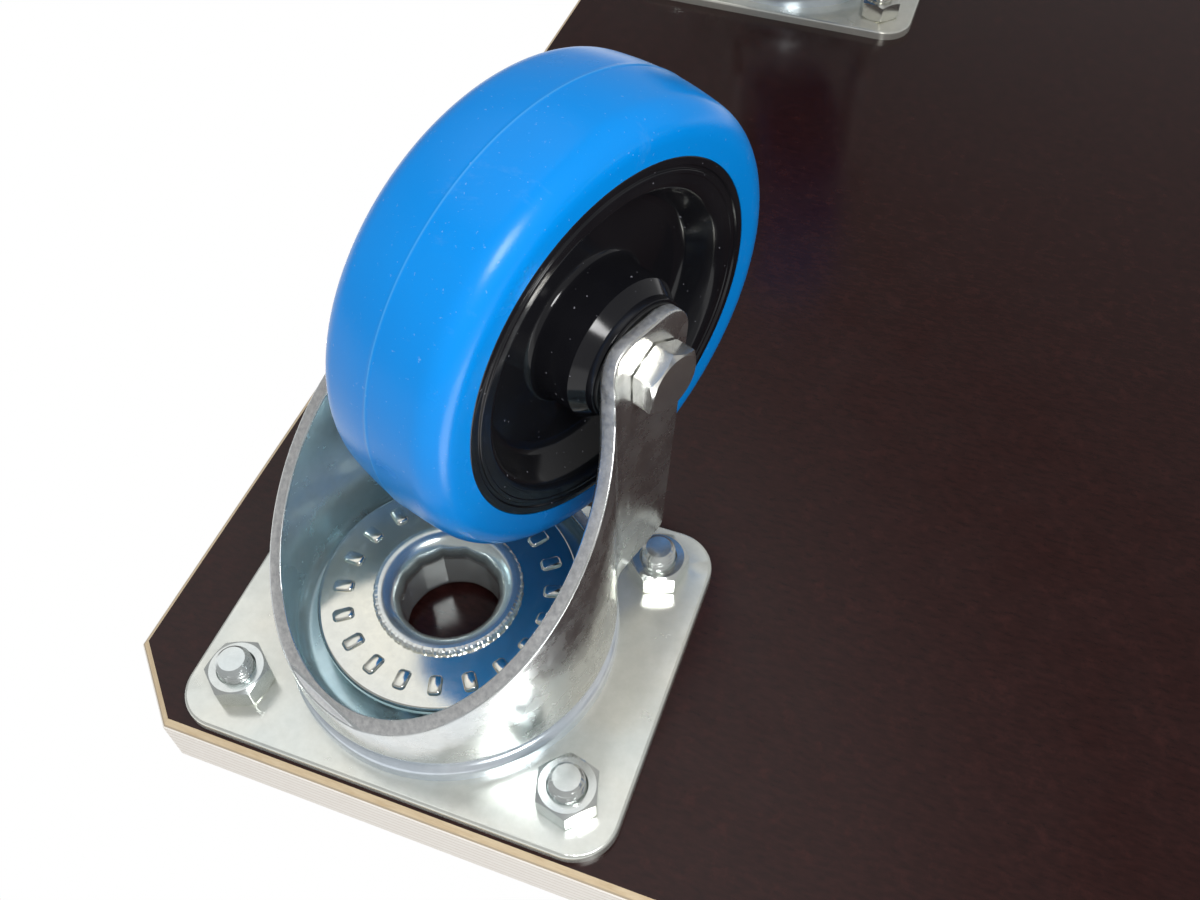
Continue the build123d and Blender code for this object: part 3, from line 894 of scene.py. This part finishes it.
kingRivet = {
    "bore": 10.8,               # its narrowest, where the mouth begins
    "waist": 11.2,              # where the foot begins
    "foot": 15.6,               # bore at the board, turned out into the flange
    "footHeight": 4.5,
    "footSteps": 10,
    "shank": 14.5,
    "flange": 17.3,
    "flangeThickness": 1.4,
    "rim": 16.9,
    "rimRound": 1.2,
    "rimSteps": 6,
    "rimSkip": 2,               # first steps left out, for a crisp crest
    "rimSink": 0.05,            # how far its edge is pressed into the washer
    "mouthDepth": 6.2,
    "mouthSteps": 14,
    "facets": 13,               # flats left by the riveting tool
    "facetSteps": 40,
    "waistFacets": 0.6,         # how flat they are there
    "ragged": 0.2,
    "tears": ((41, 0.3, 0, 0.6), (83, 0.4, 9, 0.0), (127, 0.3, 23, 0.0)),     # waves, share, lean, start
}


def addRivet(corner):
    # hollow rivet: flange in the plate, faceted bore, mouth flared over the washer
    sizes = kingRivet
    low, high = heights("king_rivet_" + corner)
    washerLow = washerFace(corner)
    turns = evenTurns(sizes["facets"] * sizes["facetSteps"])
    crest = sizes["rim"] - sizes["rimRound"]
    flare = crest - sizes["bore"]
    bend = sizes["foot"] - sizes["waist"]
    edge = low + sizes["mouthDepth"]
    facet = 2 * math.pi / sizes["facets"]

    def faceted(radius, share):
        return lambda turn: radius * (1 - share + share / math.cos(turn % facet - facet / 2))

    def ragged(radius):
        def radiusAt(turn):
            waves = (share * math.sin(count * turn + lean * radius + start)
                     for count, share, lean, start in sizes["tears"])
            return radius + sizes["ragged"] * sum(waves)
        return radiusAt

    rings = [
        ring(turns, sizes["shank"], washerLow),
        ring(turns, sizes["shank"], high - sizes["flangeThickness"]),
        ring(turns, sizes["flange"], high - sizes["flangeThickness"]),
        ring(turns, sizes["flange"], high),
    ]
    for across, up in arcBetween((0.0, 0.0), 1.0, math.pi / 2, math.pi, sizes["footSteps"]):
        bent = faceted(sizes["foot"] + bend * across, sizes["waistFacets"] * (1 - up))
        rings.append(ring(turns, bent, high - sizes["footHeight"] * (1 - up)))
    # the facets fade out half way round the mouth
    mouth = arcBetween((0.0, 0.0), 1.0, math.pi, math.pi * 1.5, sizes["mouthSteps"])
    for step, (across, down) in enumerate(mouth):
        bent = faceted(crest + flare * across, max(0.0, 1 - 2 * step / sizes["mouthSteps"]))
        rings.append(ring(turns, bent, edge + sizes["mouthDepth"] * down))
    roll = arcBetween((crest, low + sizes["rimRound"]), sizes["rimRound"], -math.pi / 2, 0, sizes["rimSteps"])
    rings += [ring(turns, ragged(radius), height) for radius, height in roll[sizes["rimSkip"]:]]
    rings.append(ring(turns, ragged(sizes["rim"]), washerLow + sizes["rimSink"]))
    mesh = ringMesh("rivet", rings, loop=True)
    mesh.materials.append(finishes["rivetZinc"])
    mesh.materials.append(finishes["boreZinc"])
    for face in mesh.polygons:
        inBore = face.normal.xy.dot(face.center.xy) < 0 and face.center.z > edge
        face.material_index = int(inBore)
    mesh.transform(casterPlace(corner))
    node = "king_rivet_" + corner
    addPiece("flaredRivet_" + corner, mesh, None, "deck", [node], sharpAngle=12)


pressedFork = {
    "edgeBreak": 0.45,          # rounding of the sheet's edges
    "edgeSteps": 3,
    "edgeAngle": 40,            # degrees, past which an edge of the cut is broken
    "mergeAngle": 0.3,          # degrees, up to which triangles are one flat face
    "crownLevel": 113.0,        # no cut edge lies above this
    "rearOf": 10.0,             # cut edges that stand upright lie behind this
    "cutAcross": 0.02,          # most that a cut face leans sideways
    "cutDown": -0.1,            # and least that it faces down
    "floorDown": -0.7,          # a face that faces down more is the fork's floor
}


def addFork(corner):
    # pressed sheet, its cut edges broken and duller than its faces; its inner faces carry a painted
    # reflection of the blue tyre and painted light
    sizes = pressedFork
    # the inside finish is zinc with a painted reflection of the blue tyre and painted light
    outside, cut, inside = range(3)
    bm = cadCopy("fork_" + corner)
    bm.transform(casterPlace(corner).inverted())
    flat = math.radians(sizes["mergeAngle"])
    bmesh.ops.dissolve_limit(bm, angle_limit=flat, verts=bm.verts, edges=bm.edges)
    bm.normal_update()
    for face in bm.faces:
        middle = face.calc_center_median()
        normal = face.normal
        inProfile = abs(normal.y) < sizes["cutAcross"] and middle.z < sizes["crownLevel"]
        if inProfile and (normal.z < sizes["cutDown"] or middle.x > sizes["rearOf"]):
            face.material_index = cut
        elif normal.xy.dot(middle.xy) < 0 or normal.z < sizes["floorDown"]:
            face.material_index = inside
    rims = [
        edge for edge in bm.edges
        if len(edge.link_faces) == 2
        and cut in [face.material_index for face in edge.link_faces]
        and edge.calc_face_angle(0.0) > math.radians(sizes["edgeAngle"])
    ]
    bmesh.ops.bevel(
        bm, geom=rims, offset=sizes["edgeBreak"], offset_type="OFFSET", segments=sizes["edgeSteps"],
        profile=0.5, affect="EDGES", clamp_overlap=False, material=outside,
    )
    bm.transform(casterPlace(corner))
    mesh = bpy.data.meshes.new("fork")
    bm.to_mesh(mesh)
    bm.free()
    for finish in ("forkZinc", "sheared", "forkInside"):
        mesh.materials.append(finishes[finish])
    node = "fork_" + corner
    addPiece("pressedFork_" + corner, mesh, None, "caster_" + corner, [node], sharpAngle=38)


# Wheels

blueTyre = {
    "radius": 50.0,
    "half": 16.0,
    "crownDrop": 2.1,
    "crease": math.radians(1.3),    # tilt of each half of the tread at the parting line
    "shoulderRound": 6.3,
    "bead": (39.3, 15.5),
    "lock": (37.3, 7.0),
    "seam": 0.1,                # height of the parting line
    "seamHalf": 0.3,
    "crownSteps": 16,
    "shoulderSteps": 12,
    "steps": 256,
}


def tyreSection(sizes):
    # two halves of a crowned tread, rounded shoulders, and the rib that locks it to the rim
    half = sizes["half"]
    drop = sizes["crownDrop"] - sizes["seam"]
    top = sizes["radius"] - sizes["seam"]
    crease = sizes["crease"]
    crownRadius = (half**2 + drop**2) / (2 * (drop * math.cos(crease) - half * math.sin(crease)))
    crown = Vector((top - crownRadius * math.cos(crease), -crownRadius * math.sin(crease)))
    bead = Vector(sizes["bead"])
    side = (bead - Vector((sizes["radius"] - sizes["crownDrop"], half))).normalized()
    inwards = Vector((-side.y, side.x))
    # the shoulder's centre lies one rounding inside both the crown and the side
    offset = bead + inwards * sizes["shoulderRound"] - crown
    along = offset.dot(side)
    reach = crownRadius - sizes["shoulderRound"]
    travel = -along - math.sqrt(along**2 - offset.length_squared + reach**2)
    centre = bead + inwards * sizes["shoulderRound"] + side * travel
    atCrown = math.atan2(centre.y - crown.y, centre.x - crown.x)
    atSide = math.atan2(-inwards.y, -inwards.x)
    atSeam = math.asin((sizes["seamHalf"] - crown.y) / crownRadius)
    upper = [(sizes["radius"], 0.0)]
    upper += arcBetween(crown, crownRadius, atSeam, atCrown, sizes["crownSteps"])
    upper += arcBetween(centre, sizes["shoulderRound"], atCrown, atSide, sizes["shoulderSteps"])[1:]
    upper += [tuple(bead), (bead.x, sizes["lock"][1]), sizes["lock"]]
    lower = [(radius, -height) for radius, height in reversed(upper[1:])]
    return upper + lower


dishedRim = {
    "corners": {                # radius, height and rounding, from the tyre's lock to the bore
        "lockInside": (*blueTyre["lock"], 0),
        "lockOutside": (blueTyre["bead"][0], blueTyre["lock"][1], 0),
        "bead": (*blueTyre["bead"], 0.35),
        "lip": (37.7, 15.5, 0.3),
        "grooveOutside": (37.4, 15.0, 0.15),
        "grooveInside": (36.8, 15.0, 0.15),
        "bandOutside": (36.6, 15.4, 0.2),
        "bandInside": (35.9, 15.4, 0.25),
        "annulus": (35.7, 15.15, 0.1),
        "dishEdge": (32.8, 15.15, 2.6),
        "dishRoot": (28.8, 7.0, 3.0),
        "webInside": (15.8, 7.0, 1.8),
        "hubShoulder": (15.4, 16.7, 0.25),
        "hubTaper": (13.3, 19.4, 0.2),
        "hubEnd": (13.1, 21.0, 0.2),
        "bore": (10.1, 21.0, 0),
    },
    "arcSteps": 5,
    "steps": 192,
}

dustCaps = {
    "corners": {                # radius, height and rounding, round the upper cap
        "spigotBore": (6.15, 19.0, 0),
        "spigotEnd": (10.1, 19.0, 0),
        "spigotRoot": (10.1, 21.0, 0),
        "seat": (12.5, 21.0, 0),
        "edge": (12.5, 21.6, 0.25),
        "mouth": (6.15, 21.6, 0.25),
    },
    "arcSteps": 4,
    "steps": 96,
}


def joinedMesh(name, meshes):
    bm = bmesh.new()
    for mesh in meshes:
        bm.from_mesh(mesh)
    result = bpy.data.meshes.new(name)
    bm.to_mesh(result)
    bm.free()
    return result


def addWheel(corner):
    tyre = turnedMesh("tyre", tyreSection(blueTyre), blueTyre["steps"])
    onSeam = [float(abs(vertex.co.z) < blueTyre["seamHalf"] / 2) for vertex in tyre.vertices]
    tyre.attributes.new("parting", "FLOAT", "POINT").data.foreach_set("value", onSeam)
    upper = tuple(dishedRim["corners"].values())
    lower = tuple((radius, -height, rounding) for radius, height, rounding in reversed(upper))
    rim = turnedMesh("rim", roundedSection(upper + lower, dishedRim["arcSteps"]), dishedRim["steps"])
    around = tuple(dustCaps["corners"].values())
    cap = turnedMesh("cap", roundedSection(around, dustCaps["arcSteps"]), dustCaps["steps"])
    otherCap = cap.copy()
    otherCap.transform(Matrix.Rotation(math.pi, 4, "X"))
    caps = joinedMesh("caps", (cap, otherCap))
    pieces = (
        ("blueTyre_", tyre, "tyre", "tyre_"),
        ("dishedRim_", rim, "rim", "rim_"),
        ("dustCaps_", caps, "cap", "hub_caps_"),
    )
    for name, mesh, slot, node in pieces:
        mesh.transform(wheelPlace(corner))
        finish = finishes[slot]
        addPiece(name + corner, mesh, finish, "wheel_" + corner, [node + corner], sharpAngle=50)


axleBolt = dict(
    fastener,
    legOutside=25.0,
    headHeight=5.3,
    headDisc=0.35,              # under the head
    nutHeight=6.5,
    nutTurn=11.0,               # degrees
    collar=5.8,
    collarHeight=1.5,
    collarRound=0.8,
    collarSteps=6,
    end=-35.0,
    threadStart=-31.0,
)


def addAxleFasteners(corner):
    sizes = axleBolt
    leg = sizes["legOutside"]
    rod = sizes["threadRadius"]
    turns = hexagonTurns(sizes["nutFlats"], sizes["nutCorner"])
    # bolt
    headLow = leg + sizes["headDisc"]
    head = hexagonRings(turns, sizes, headLow, leg + sizes["headHeight"], False, True)[::-1]
    disc = sizes["nutFlats"] / 2 * sizes["faceShare"]
    shank = [ring(turns, disc, leg), ring(turns, rod, leg), ring(turns, rod, sizes["threadStart"])]
    thread = threadRings(turns, sizes, sizes["threadStart"] - sizes["threadRunIn"], sizes["end"])
    bolt = ringMesh("bolt", head + shank + thread, capStart=True, capEnd=True)
    # lock nut with a collar
    nutLow = -leg - sizes["nutHeight"]
    collarLow = nutLow - sizes["collarHeight"]
    rounding = sizes["collarRound"]
    middle = (sizes["collar"] - rounding, collarLow + rounding)
    edge = arcBetween(middle, rounding, 0, -math.pi / 2, sizes["collarSteps"])
    inside = [(sizes["collar"], nutLow), *edge, (rod, collarLow), (rod, -leg)]
    outside = hexagonRings(turns, sizes, nutLow, -leg, True, True)[::-1]
    nut = ringMesh("lockNut", outside + [ring(turns, *place) for place in inside], loop=True)
    nut.transform(Matrix.Rotation(math.radians(sizes["nutTurn"]), 4, "Z"))
    zinc = finishes["boltZinc"]
    for name, mesh, node in (("hexBolt_", bolt, "axle_bolt_"), ("lockNut_", nut, "axle_nut_")):
        mesh.transform(wheelPlace(corner))
        addPiece(name + corner, mesh, zinc, "caster_" + corner, [node + corner], sizes["sharpAngle"])


ballRow = ballTree()
dimpleRow = dimpleTree()
for corner in corners:
    addPlainCopies(corner)
    addBallRows(corner, ballRow)
    addWasher(corner, dimpleRow)
    addRivet(corner)
    addFork(corner)
    addWheel(corner)
    addAxleFasteners(corner)
    print("caster made:", corner)


# Stage, light and camera

floorSizes = {
    "half": 6.0,
    "below": 0.0003,            # clear of the tyres
    "color": (0.86, 0.86, 0.85),
    "roughness": 0.7,
    "near": (0.45, 0.35),       # distance from the middle, and share of plain white there
    "far": (1.7, 1.0),
}


def addFloor():
    # pale floor, seen from above only, so that the view from below stays open
    half = floorSizes["half"]
    mesh = bpy.data.meshes.new("floor")
    mesh.from_pydata([(-half, -half, 0), (half, -half, 0), (half, half, 0), (-half, half, 0)], [], [range(4)])
    floor = bpy.data.objects.new("floor", mesh)
    scene.collection.objects.link(floor)
    floor.location.z = -floorSizes["below"]
    material, tree, shader, coords = startMaterial("paleFloor")
    fillInputs(tree, shader, {"Base Color": floorSizes["color"], "Roughness": floorSizes["roughness"]})
    away = addNode(tree, "ShaderNodeVectorMath", {0: coords["Object"]}, operation="LENGTH").outputs["Value"]
    (near, nearShare), (far, farShare) = floorSizes["near"], floorSizes["far"]
    share = spread(tree, away, nearShare, farShare, near, far)
    white = addNode(tree, "ShaderNodeEmission", {}).outputs["Emission"]
    shown = addNode(tree, "ShaderNodeMixShader", {0: share, 1: shader.outputs["BSDF"], 2: white})
    fromBelow = addNode(tree, "ShaderNodeNewGeometry", {}).outputs["Backfacing"]
    clear = addNode(tree, "ShaderNodeBsdfTransparent", {}).outputs["BSDF"]
    sides = addNode(tree, "ShaderNodeMixShader", {0: fromBelow, 1: shown.outputs["Shader"], 2: clear})
    fillInputs(tree, tree.nodes["Material Output"], {"Surface": sides.outputs["Shader"]})
    mesh.materials.append(material)
    for ray in ("diffuse", "glossy", "transmission", "shadow"):
        setattr(floor, "visible_" + ray, False)


worldLight = {
    "fromBelow": 0.76,
    "fromAbove": 0.5,
    "brightSide": (-0.32, -0.22, -0.92),
    # tones that metal shows, by nearness to the bright side and by height
    "roomTones": ((0.6, 0.4), (0.86, 0.32), (0.91, 0.2), (0.94, 0.45), (0.96, 0.85), (0.975, 1.0)),
    "tableTones": ((0.5, 0.0), (0.6, 1.0)),
}


def addWorld():
    # white to the camera, a white table and a darker room in reflections, soft light on the object
    world = bpy.data.worlds.new("studio")
    scene.world = world
    world.use_nodes = True
    tree = world.node_tree
    white = (1.0, 1.0, 1.0)
    outwards = tree.nodes.new("ShaderNodeTexCoord").outputs["Generated"]
    brightSide = Vector(worldLight["brightSide"]).normalized()
    toward = addNode(tree, "ShaderNodeVectorMath", {0: outwards, 1: brightSide}, operation="DOT_PRODUCT")
    upward = addNode(tree, "ShaderNodeSeparateXYZ", {"Vector": outwards})
    # both from -1 to 1, brought to 0 to 1
    nearness = reckon(tree, "MULTIPLY_ADD", toward.outputs["Value"], 0.5, 0.5)
    height = reckon(tree, "MULTIPLY_ADD", upward.outputs["Z"], 0.5, 0.5)
    room = ramp(tree, nearness, *worldLight["roomTones"])
    table = ramp(tree, height, *worldLight["tableTones"])
    mirrored = mixed(tree, 1.0, room, table, "LIGHTEN")
    rays = tree.nodes.new("ShaderNodeLightPath").outputs
    seen = tree.nodes["Background"]
    fillInputs(tree, seen, {"Color": mixed(tree, rays["Is Camera Ray"], mirrored, white), "Strength": 1.0})
    level = spread(tree, height, worldLight["fromBelow"], worldLight["fromAbove"])
    ambient = addNode(tree, "ShaderNodeBackground", {"Color": white, "Strength": level})
    glossy = reckon(tree, "MAXIMUM", rays["Is Glossy Ray"], rays["Is Transmission Ray"])
    either = reckon(tree, "MAXIMUM", rays["Is Camera Ray"], glossy)
    choice = addNode(tree, "ShaderNodeMixShader", {
        0: either, 1: ambient.outputs["Background"], 2: seen.outputs["Background"],
    })
    fillInputs(tree, tree.nodes["World Output"], {"Surface": choice.outputs["Shader"]})


lamps = {
    "besideCamera": {"at": (-0.108, 0.2545, -0.117), "to": (-0.21, 0.13, 0.08), "size": 0.075, "power": 0.28},
    "overheadKey": {"at": (-1.0, -1.3, 1.9), "to": (0.0, 0.0, 0.08), "size": 1.2, "power": 36.0},
    "overheadFill": {"at": (1.5, 1.1, 1.6), "to": (0.0, 0.0, 0.08), "size": 1.4, "power": 20.0},
}


def addLamps():
    for name, sizes in lamps.items():
        light = bpy.data.lights.new(name, "AREA")
        light.shape = "DISK"
        light.size = sizes["size"]
        light.energy = sizes["power"]
        lamp = bpy.data.objects.new(name, light)
        scene.collection.objects.link(lamp)
        lamp.location = sizes["at"]
        aim = Vector(sizes["to"]) - Vector(sizes["at"])
        lamp.rotation_euler = aim.to_track_quat("-Z", "Y").to_euler()


photoCamera = {
    "at": (-0.14799, 0.26987, -0.11734),
    "look": (-0.2229, -0.5657, 0.7939),
    "up": (-0.2667, -0.7479, -0.6078),
    "lens": 34.845,
    "sensor": 36.0,
    "nearest": 0.005,
}


def addCamera():
    # looks up from under the dolly, as the photo shows it upside down
    data = bpy.data.cameras.new("photoCamera")
    data.sensor_width = photoCamera["sensor"]
    data.lens = photoCamera["lens"]
    data.clip_start = photoCamera["nearest"]
    camera = bpy.data.objects.new("photoCamera", data)
    scene.collection.objects.link(camera)
    back = -Vector(photoCamera["look"]).normalized()
    right = Vector(photoCamera["up"]).cross(back).normalized()
    turned = Matrix((right, back.cross(right), back)).transposed().to_4x4()
    camera.matrix_world = Matrix.Translation(photoCamera["at"]) @ turned
    scene.camera = camera


addFloor()
addWorld()
addLamps()
addCamera()
scene.view_settings.view_transform = "Standard"
print("stage, light and camera set")
